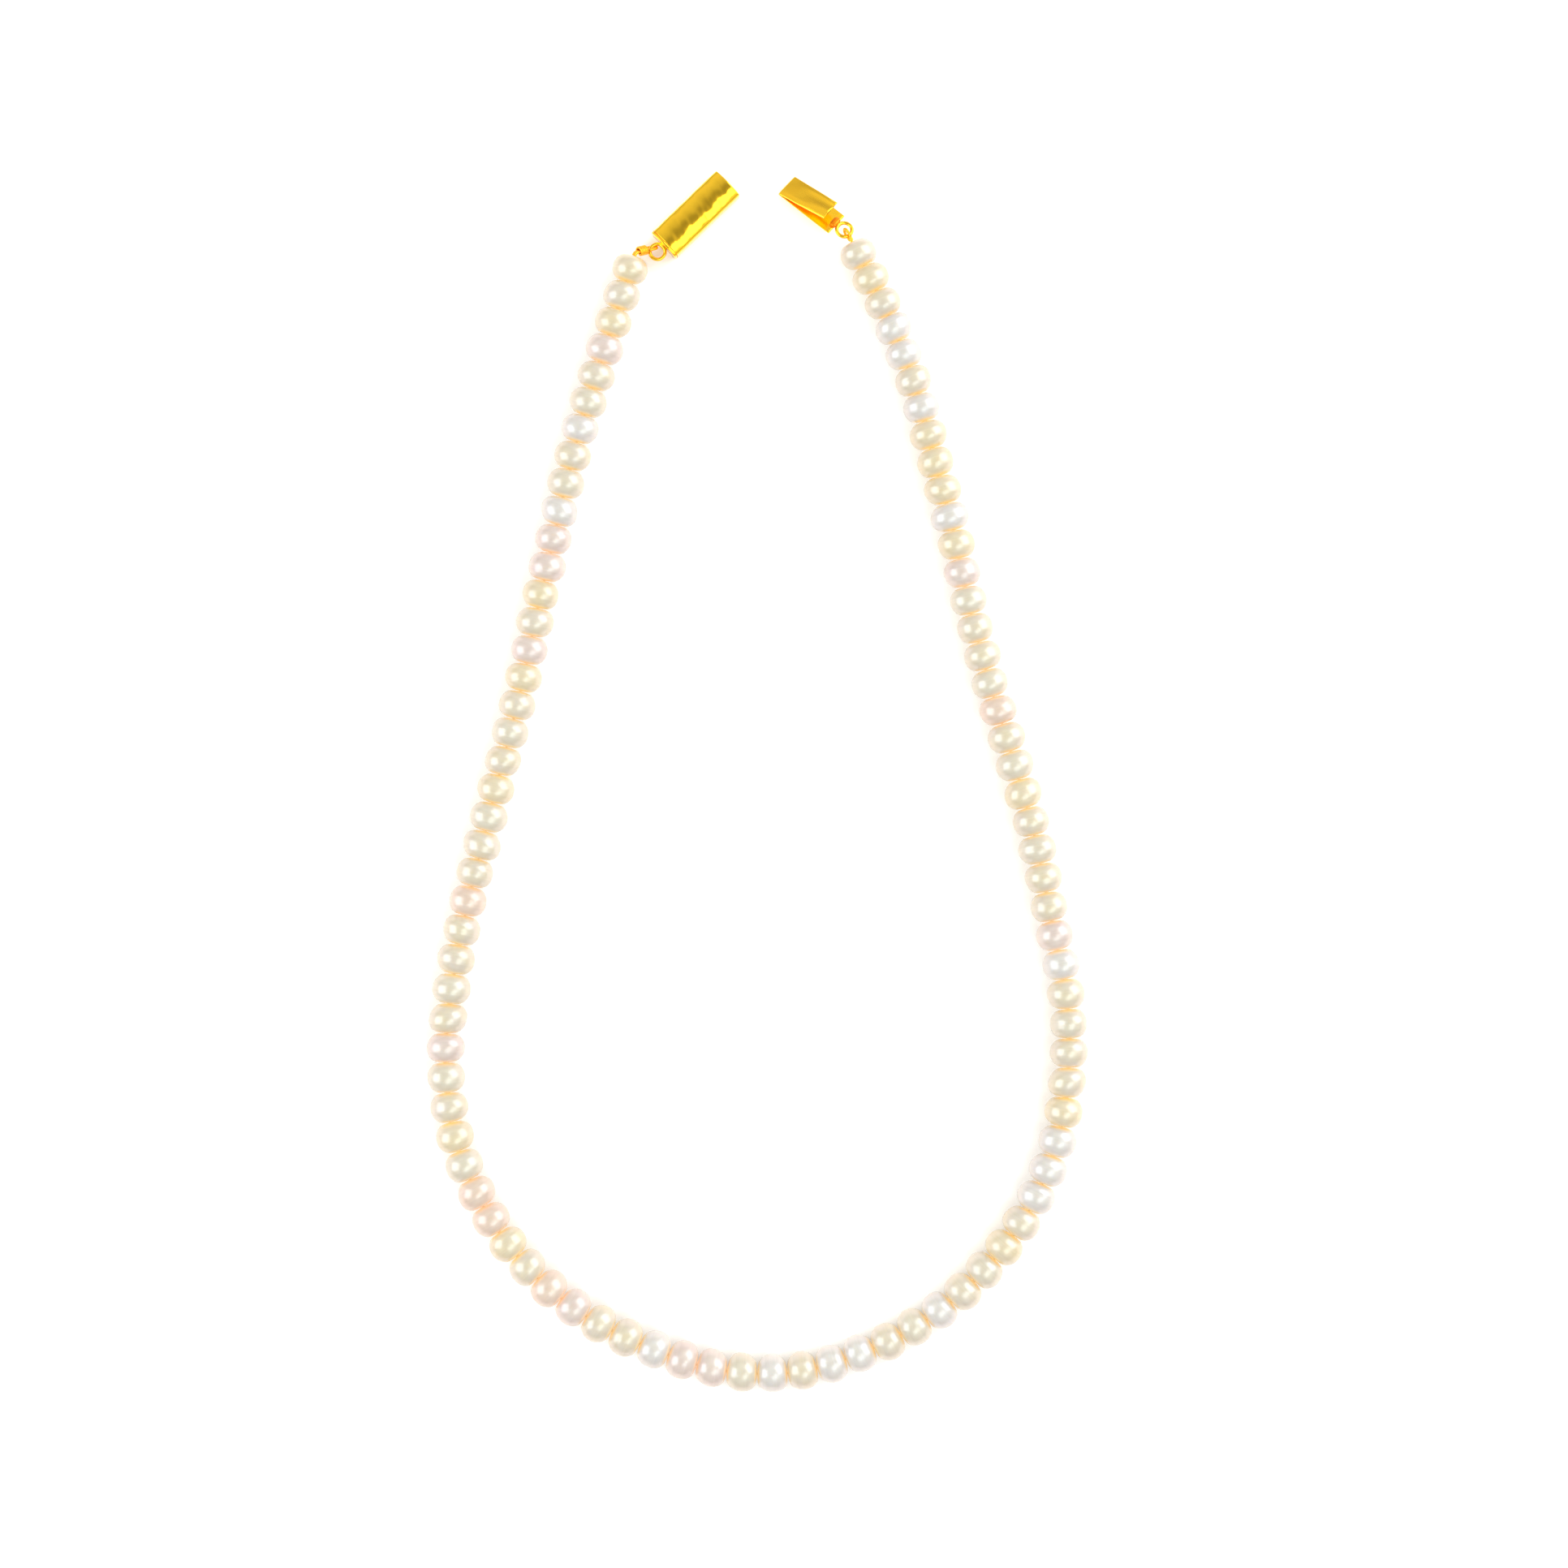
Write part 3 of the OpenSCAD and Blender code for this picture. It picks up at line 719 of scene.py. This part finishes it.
box_place = own_place(joint_at("clasp_box_swing"), np.array(mounts["box_mouth"]["axis"]),
                      np.array([0, 0, 1.0]))
tongue_place = own_place(joint_at("clasp_tongue_swing"), np.array(mounts["tongue_strip"]["axis"]),
                         np.array(joints["clasp_tongue_swing"]["axis"], float))
ring_high = own_box("housing_ring", box_place)[1]
RING_R, WIRE_R = ring_high[1], ring_high[2]
ring_mid = RING_R - WIRE_R
barrel_low, barrel_high = own_box("housing_barrel", box_place)
cap_low = own_box("housing_end_cap", box_place)[0]
lower_low, lower_high = own_box("tongue_lower_leaf", tongue_place)
upper_low, upper_high = own_box("tongue_upper_leaf", tongue_place)
block_low, block_high = own_box("tongue_solder_block", tongue_place)
print("ring", round(2 * RING_R, 2), "barrel", (barrel_high - barrel_low).round(2).tolist(),
      "lower leaf", (lower_high - lower_low).round(2).tolist())

# %% [markdown]
# ## Cord loops
# The thread's ends are hidden in bullion: a tight coil of hair-fine gilt wire, as a tiny
# spring, slipped over the thread where it goes round a ring. It is a tube along the loop
# with a half-round ridge for each turn of wire. Real wire is finer, 0.08 mm; it is drawn
# at 0.17 mm so that it shows.

# %% Bullion loops
GIMP_R = 0.225
WIRE_PITCH_MM = 0.17
LEG_CLEAR = 0.02
LOOP_R, LOOP_OPEN_BY, WRAP_START = 0.7, 0.3, 0.5


def ridged(run, columns, radius, pitch, depth):
    """Radius of a wound wire: half-round ridges, whose crest climbs one pitch each time round."""
    turn = (run[:, None] / pitch + np.arange(columns)[None] / columns) % 1
    return radius - depth + depth * np.sqrt(np.clip(1 - (2 * turn - 1) ** 2, 0, 1))


def ease(u):
    """A smooth step from 0 to 1."""
    return u * u * (3 - 2 * u)


def loop_line(mouth, bend, hold, together, past, tilt):
    """A loop's own path: it leaves the pearl, turns at the bend, runs as two legs side by side,
    opens out before the ring, turns round past its wire and comes back the same way."""
    way = unit(hold - bend)
    level = unit(np.cross([0, 0, 1], way))
    lean = np.radians(tilt)
    side = np.cos(lean) * level + np.sin(lean) * np.cross(way, level)
    close = GIMP_R + LEG_CLEAR
    turn_out = bend + way * min(together, WRAP_START)
    legs_part, legs_open = bend + way * together, hold - way * LOOP_OPEN_BY
    end = hold + way * past
    u = np.linspace(0, 1, 5)[:, None]
    leg = [(1 - u) ** 2 * mouth + 2 * u * (1 - u) * bend + u ** 2 * turn_out]
    off = [np.full(5, close)]
    if together > WRAP_START:
        leg.append(legs_part[None])
        off.append([close])
    u = np.linspace(0.2, 1, 5)
    leg.append(legs_part + u[:, None] * (legs_open - legs_part))
    off.append(close + (LOOP_R - close) * ease(u))
    leg, off = np.vstack(leg + [end[None]]), np.concatenate(off + [[LOOP_R]])[:, None]
    angle = np.radians(np.arange(15, 166, 15))[:, None]
    turn = end + LOOP_R * (np.cos(angle) * side + np.sin(angle) * way)
    return np.vstack([leg + side * off, turn, (leg - side * off)[::-1]]), np.cross(way, side)


def bullion(name, node, body, mouth, out, place, stub, hold_at, together, past, tilt):
    """One loop of bullion. It leaves a pearl's mouth along `out`, bends after the stub and
    holds its ring where the ring's angle is `hold_at`; its other sizes are loop_line's."""
    angle = np.radians(hold_at)
    hold = place[0] + ring_mid * (np.cos(angle) * place[1][0] + np.sin(angle) * place[1][1])
    bend = mouth + out * stub
    points, reference = loop_line(mouth, bend, hold, together, past, tilt)
    path, run = smooth_line(points, WIRE_PITCH_MM / 7)
    radius = ridged(run, 16, GIMP_R, WIRE_PITCH_MM, 0.045)
    skin = grid_skin(cord_rings(path, reference, radius), along=run)
    piece = make_piece(name, [skin], [gimp_gold], [node])
    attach(piece, body)
    return bend, unit(hold - bend), reference, run[-1]


left_mouth, right_mouth = joint_at("clasp_box_lift"), joint_at("clasp_tongue_lift")
left_out = unit((left_mouth - pearls[0]["middle"]) * [1, 1, 0])
right_out = unit((right_mouth - pearls[-1]["middle"]) * [1, 1, 0])
WRAP_LEN = 1.65
left_bend, left_way, left_reference, left_run = bullion(
    "bullion_left", "gimp_left", "loop_left", left_mouth, left_out, box_place, stub=0.5,
    hold_at=111, together=WRAP_START + WRAP_LEN, past=0.3, tilt=-60)
right_run = bullion(
    "bullion_right", "gimp_right", "loop_right", right_mouth, right_out, tongue_place,
    stub=0.35, hold_at=163, together=0.05, past=0.5, tilt=-75)[3]
print("bullion lengths", round(left_run, 1), round(right_run, 1), "mm")

# %% [markdown]
# ## Wrapped legs
# On the box side the loop's two legs are bound by a few turns of the same cord. The turns
# follow a helix on an oval, because two legs side by side are wider than they are thick.

# %% Binding turns
BIND_R, BIND_TURNS = 0.155, 5
BIND_WIDE, BIND_THICK = 0.68, 0.60
side = np.cross(left_reference, left_way)
turn = np.linspace(0, 1, 40 * BIND_TURNS)
angle = 2 * np.pi * BIND_TURNS * turn
helix = (left_bend + left_way * (WRAP_START + BIND_R + (WRAP_LEN - 2 * BIND_R) * turn)[:, None]
         + side * (BIND_WIDE * np.cos(angle))[:, None]
         + left_reference * (BIND_THICK * np.sin(angle))[:, None])
path, run = smooth_line(helix, WIRE_PITCH_MM / 6)
tip = np.clip(np.minimum(run, run[-1] - run) / BIND_R, 0, 1)
taper = np.sqrt(np.clip(1 - (1 - tip) ** 2, 0.01, 1))[:, None]
radius = ridged(run, 14, BIND_R, WIRE_PITCH_MM, 0.03) * taper
binding = make_piece("binding_turns", [grid_skin(cord_rings(path, left_way, radius), along=run)],
                     [gimp_gold], ["wrap_coil_left"])
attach(binding, "loop_left")
print("binding cord", round(run[-1], 1), "mm")

# %% [markdown]
# ## Rings
# Each ring is a piece of drawn wire bent round and soldered where its ends meet, so it is
# fuller there, and never quite even.

# %% Soldered rings
def ring_skin(place, fill, rng):
    """A torus whose wire swells towards +X, where the solder is, and wavers a little."""
    around = 2 * np.pi * np.arange(96)[:, None] / 96
    section = 2 * np.pi * np.arange(20)[None] / 20
    apart = np.angle(np.exp(1j * around))
    waver = 0.02 * np.cos(2 * around + rng.uniform(0, 6)) + 0.015 * np.cos(5 * around + 1)
    wire = WIRE_R * (1 + fill * np.exp(-(apart / 0.45) ** 2) + waver)
    reach = ring_mid * (1 + 0.006 * np.cos(3 * around)) + wire * np.cos(section)
    reach = np.minimum(reach, RING_R)
    height = wire * np.sin(section)
    local = np.stack([reach * np.cos(around), reach * np.sin(around), height], -1)
    return grid_skin(to_world(local, place), wrap=True)


for name, node, body, place, fill in (
        ("ring_of_box", "housing_ring", "housing", box_place, 0.3),
        ("ring_of_tongue", "tongue_ring", "tongue", tongue_place, 0.25)):
    piece = make_piece(name, [ring_skin(place, fill, rng)], [wire_gold], [node])
    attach(piece, body)
print("rings 2")

# %% [markdown]
# ## The box
# The box is a piece of sheet bent into a tube, with a flat bottom, upright sides and a low
# crown. Its edges are soft, and handling has left shallow dents, which is why the reflection
# on its crown has a wavy edge. A wall of constant thickness follows the skin inside, so the
# mouth is truly open; the rim between them is rounded.

# %% Tube section
HALF_W = barrel_high[1]
BOTTOM, CROWN_TOP = barrel_low[2], barrel_high[2]
barrel_points = (node_points("housing_barrel") - box_place[0]) @ box_place[1].T
SIDE_TOP = barrel_points[barrel_points[:, 1] > HALF_W - 0.01][:, 2].max()
WALL = 0.3
SECTION = 160
EDGE_ROUND = 0.8


def box_outline():
    """The tube's outline, from the middle of the bottom: straight sides and an arc for the
    crown, whose corners are rounded by a moving average as long as EDGE_ROUND."""
    rise = CROWN_TOP - SIDE_TOP
    crown_r = (HALF_W ** 2 + rise ** 2) / (2 * rise)
    reach = np.arcsin(HALF_W / crown_r)
    lean = np.linspace(reach, -reach, 40)
    crown = np.stack([crown_r * np.sin(lean), CROWN_TOP - crown_r * (1 - np.cos(lean))], -1)
    sharp = np.vstack([[0, BOTTOM], [HALF_W, BOTTOM], crown, [-HALF_W, BOTTOM], [0, BOTTOM]])
    run = np.append(0, np.cumsum(np.linalg.norm(np.diff(sharp, axis=0), axis=1)))
    at = run[-1] * np.arange(SECTION) / SECTION
    even = np.stack([np.interp(at, run, sharp[:, k]) for k in range(2)], -1)
    window = max(int(round(EDGE_ROUND / run[-1] * SECTION / 2)), 1)
    return sum(np.roll(even, k, 0) for k in range(-window, window + 1)) / (2 * window + 1)


outline = box_outline()
ahead = np.roll(outline, -1, 0) - np.roll(outline, 1, 0)
outward = unit(np.stack([ahead[:, 1], -ahead[:, 0]], -1))


DENTS = ((0.030, 1.05, 0.8, 0.4), (0.022, 2.1, -1.3, 2.0), (0.014, 3.7, 0.9, 4.1),
         (0.008, 6.3, -2.2, 0.0))


def dents(x):
    """How far the skin is pushed out at each x and each point of the outline, in mm: a sum
    of depth * sin(a * x + b * y + start), which fades down the sides."""
    y, z = outline[:, 0], outline[:, 1]
    on_top = np.clip((z - BOTTOM) / (CROWN_TOP - BOTTOM), 0, 1) ** 2
    x = np.asarray(x)[..., None]
    return on_top * sum(depth * np.sin(a * x + b * y + start) for depth, a, b, start in DENTS)


def along_box(x, inset):
    """Points of the tube's section at each x, moved inwards by an inset for each x, or for
    each x and point. Nothing is let below the tube's own bottom."""
    inset = np.reshape(inset, (len(x), -1, 1))
    moved = outline + outward * (dents(x)[..., None] - inset)
    moved[..., 1] = np.maximum(moved[..., 1], BOTTOM)
    x = np.broadcast_to(np.asarray(x)[:, None, None], moved.shape[:-1] + (1,))
    return to_world(np.concatenate([x, moved], -1), box_place)


start, mouth = barrel_low[0], barrel_high[0]
rim = np.radians(np.linspace(-90, 90, 9))
rim_x = mouth - WALL / 2 + WALL / 2 * np.cos(rim)
rim_inset = WALL / 2 + WALL / 2 * np.sin(rim)
outer_x = np.linspace(start, mouth - WALL / 2, 70)[:-1]
inner_x = outer_x[::-1]
tube_x = np.concatenate([outer_x, rim_x, inner_x])
tube_inset = np.concatenate([0 * outer_x, rim_inset, 0 * inner_x + WALL])
along = np.append(tube_x - start, 0)
barrel = make_piece("box_tube", [grid_skin(along_box(tube_x, tube_inset), True, along)],
                    [plate_gold], ["housing_barrel"])
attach(barrel, "housing")
print("box tube", round(mouth - start, 2), "mm long")

# %% [markdown]
# ## End cap
# The cap is a thicker plate that closes the ring's end of the tube. Its rim stands a hair
# proud and is rounded, and a thin bead of solder fills the seam.

# %% Cap and seam
cap_start = cap_low[0]
CAP_ROUND, PROUD = 0.14, 0.04
bend = np.radians(np.linspace(0, 90, 7))
cap_x = np.concatenate([[cap_start], cap_start + CAP_ROUND * (1 - np.cos(bend)),
                        [start - 0.06, start + 0.02]])
cap_inset = np.concatenate([[0.9], CAP_ROUND * (1 - np.sin(bend)) - PROUD, [-PROUD, 0.02]])
cap = make_piece("box_end_cap", [grid_skin(along_box(cap_x, cap_inset), along=cap_x)],
                 [plate_gold], ["housing_end_cap"])
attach(cap, "housing")
seam_at = 2 * np.pi * np.arange(10) / 10
bead = 0.07 * (1 + 0.35 * np.sin(np.arange(SECTION) * 0.9) * np.sin(np.arange(SECTION) * 0.37))
seam_x = start + 0.02 + 0.09 * np.cos(seam_at)
seam_points = along_box(seam_x, 0.03 - np.sin(seam_at)[:, None] * bead)
seam = make_piece("cap_solder_seam", [grid_skin(seam_points, True)], [solder_gold])
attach(seam, "housing")
plate = frame["nodes"]["housing_mouth_plate"]
plate.data.materials.clear()
plate.data.materials.append(leaf_gold)
print("cap, seam and mouth plate")

# %% [markdown]
# ## The tongue
# The tongue is one strip of springy gold folded in two. The lower leaf is flat. The upper
# leaf springs up from the fold, and it is creased lengthways near its free end, where it is
# pressed each time. The upper leaf and the fold are one piece, fixed where it is made.

# %% Strip surface
LEAF_T = (lower_high[2] - lower_low[2]) / 2
FOLD_Z = (lower_high[2] + lower_low[2]) / 2
FOLD_X = lower_high[0] - LEAF_T
LEAF_HALF = lower_high[1]
LEAF_COLUMNS, STRIP_BLUNT = 72, 0.35


def strip_skin(path, normal, half, thick, shape):
    """A strip along a path in the tongue's XZ plane. The section is a flat oval, y is
    half * cos and the height thick / 2 * sin, both squared off to a blunt one, and `shape`
    lifts both faces by a height for each row and each y."""
    angle = 2 * np.pi * np.arange(LEAF_COLUMNS) / LEAF_COLUMNS
    y = half[:, None] * blunt(np.cos(angle), STRIP_BLUNT)
    share = np.arange(len(path))[:, None] / (len(path) - 1)
    lift = thick[:, None] / 2 * blunt(np.sin(angle), STRIP_BLUNT) + shape(share, y)
    points = path[:, None] + lift[..., None] * normal[:, None]
    points[..., 1] += y
    return points


def strip_ends(run, thick):
    """Thickness that rounds off within half a thickness of each end."""
    near = np.clip(np.minimum(run, run[-1] - run) / (thick / 2), 0, 1)
    return thick * np.sqrt(np.clip(1 - (1 - near) ** 2, 0.02, 1))


def dense_ends(length, count):
    """Rows along a strip, closer together at both ends: (1 - cos) / 2 spacing, twice over."""
    u = np.linspace(0, 1, count)
    return length * (0.5 * u + 0.5 * (1 - np.cos(np.pi * u)) / 2)


def lower_warp(u, y):
    """The lower leaf isn't quite flat: a slow wave that fades towards the fold."""
    return 0.02 * np.sin(5 * u + y) * (1 - u)


run = dense_ends(FOLD_X - lower_low[0], 60)
path = np.stack([lower_low[0] + run, 0 * run, 0 * run + FOLD_Z - LEAF_T / 2], -1)
up = np.broadcast_to([0, 0, 1.0], path.shape)
lower = strip_skin(path, up, LEAF_HALF * (0.97 + 0.03 * strip_ends(run, LEAF_T) / LEAF_T),
                   strip_ends(run, LEAF_T), lower_warp)
piece = make_piece("tongue_lower_strip", [grid_skin(to_world(lower, tongue_place), along=run)],
                   [leaf_gold], ["tongue_lower_leaf"])
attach(piece, "tongue")
print("lower leaf", round(run[-1], 2), "mm long")

# %% Fold and upper leaf
upper_tip = (upper_low[0], upper_high[2])
LEAF_RISE = np.arctan2(upper_tip[1] - LEAF_T - FOLD_Z, FOLD_X - upper_tip[0])
UPPER_LEN = (FOLD_X - upper_tip[0]) / np.cos(LEAF_RISE)
TIP_HALF = 0.85 * LEAF_HALF
bend = np.linspace(-np.pi / 2, np.pi / 2 - LEAF_RISE, 16)
fold = np.stack([FOLD_X + LEAF_T / 2 * np.cos(bend), 0 * bend, FOLD_Z + LEAF_T / 2 * np.sin(bend)],
                -1)
fold_normal = np.stack([np.cos(bend), 0 * bend, np.sin(bend)], -1)
back = np.array([-np.cos(LEAF_RISE), 0, np.sin(LEAF_RISE)])
above = np.array([np.sin(LEAF_RISE), 0, np.cos(LEAF_RISE)])
leaf_run = dense_ends(UPPER_LEN, 90)[1:]
leaf_path = fold[-1] + leaf_run[:, None] * back
path = np.vstack([fold, leaf_path])
normal = np.vstack([fold_normal, np.broadcast_to(above, leaf_path.shape)])
run = np.append(0, np.cumsum(np.linalg.norm(np.diff(path, axis=0), axis=1)))
share = run / run[-1]
half = LEAF_HALF + (TIP_HALF - LEAF_HALF) * share


CREASES = ((0.24, 0.35, 0.45), (-0.2, -0.55, 0.4), (0.08, -1.25, 0.3))


def leaf_creases(u, y):
    """Lift of the upper leaf: lengthways ridges and a groove that grow towards the free end,
    one long edge curled down, and a faint ripple from rolling. A crease is
    height * exp(-((y - middle) / width)^2), and follows the run along the strip, not u."""
    grow = ease(np.clip((share[:, None] - 0.3) / 0.7, 0, 1))
    ridges = sum(height * np.exp(-((y - at) / width) ** 2) for height, at, width in CREASES)
    curl = -0.22 * ease(np.clip((y / LEAF_HALF - 0.55) / 0.45, 0, 1)) * ease(
        np.clip(share[:, None] / 0.5, 0, 1))
    ripple = 0.012 * np.sin(9 * share[:, None] + 2 * y)
    return grow * ridges + curl + ripple


upper = strip_skin(path, normal, half, strip_ends(run, LEAF_T), leaf_creases)
piece = make_piece("tongue_spring_leaf", [grid_skin(to_world(upper, tongue_place), along=run)],
                   [leaf_gold], ["tongue_upper_leaf"])
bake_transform(piece)
print("upper leaf", round(UPPER_LEN, 2), "mm long, open by", round(float(np.degrees(LEAF_RISE)), 1))

# %% [markdown]
# ## Solder on the tongue
# A lump of solder holds the ring to the lower leaf's end. It froze as it ran, so it is
# grainy and pitted.

# %% Solder lump
LUMP_BLUNT = 0.6


def solder_lump(low, high, rng):
    """A blunt ellipsoid that fills a box, roughened by a sum of short waves."""
    tip = np.linspace(0.05, np.pi - 0.05, 26)[:, None]
    turn = 2 * np.pi * np.arange(40)[None] / 40
    local = blunt(np.stack([np.cos(tip) * np.ones_like(turn), np.sin(tip) * np.cos(turn),
                            np.sin(tip) * np.sin(turn)], -1), LUMP_BLUNT)
    grain = sum(0.02 * np.sin(k * local @ unit(rng.normal(size=3)) + rng.uniform(0, 6))
                for k in (7, 9, 12, 15, 19))
    local = local * (0.96 + grain)[..., None]
    return grid_skin(to_world((low + high) / 2 + local * (high - low) / 2, tongue_place))


piece = make_piece("tongue_solder", [solder_lump(block_low, block_high, rng)], [solder_gold],
                   ["tongue_solder_block"])
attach(piece, "tongue")
print("solder", (block_high - block_low).round(2).tolist(), "mm")
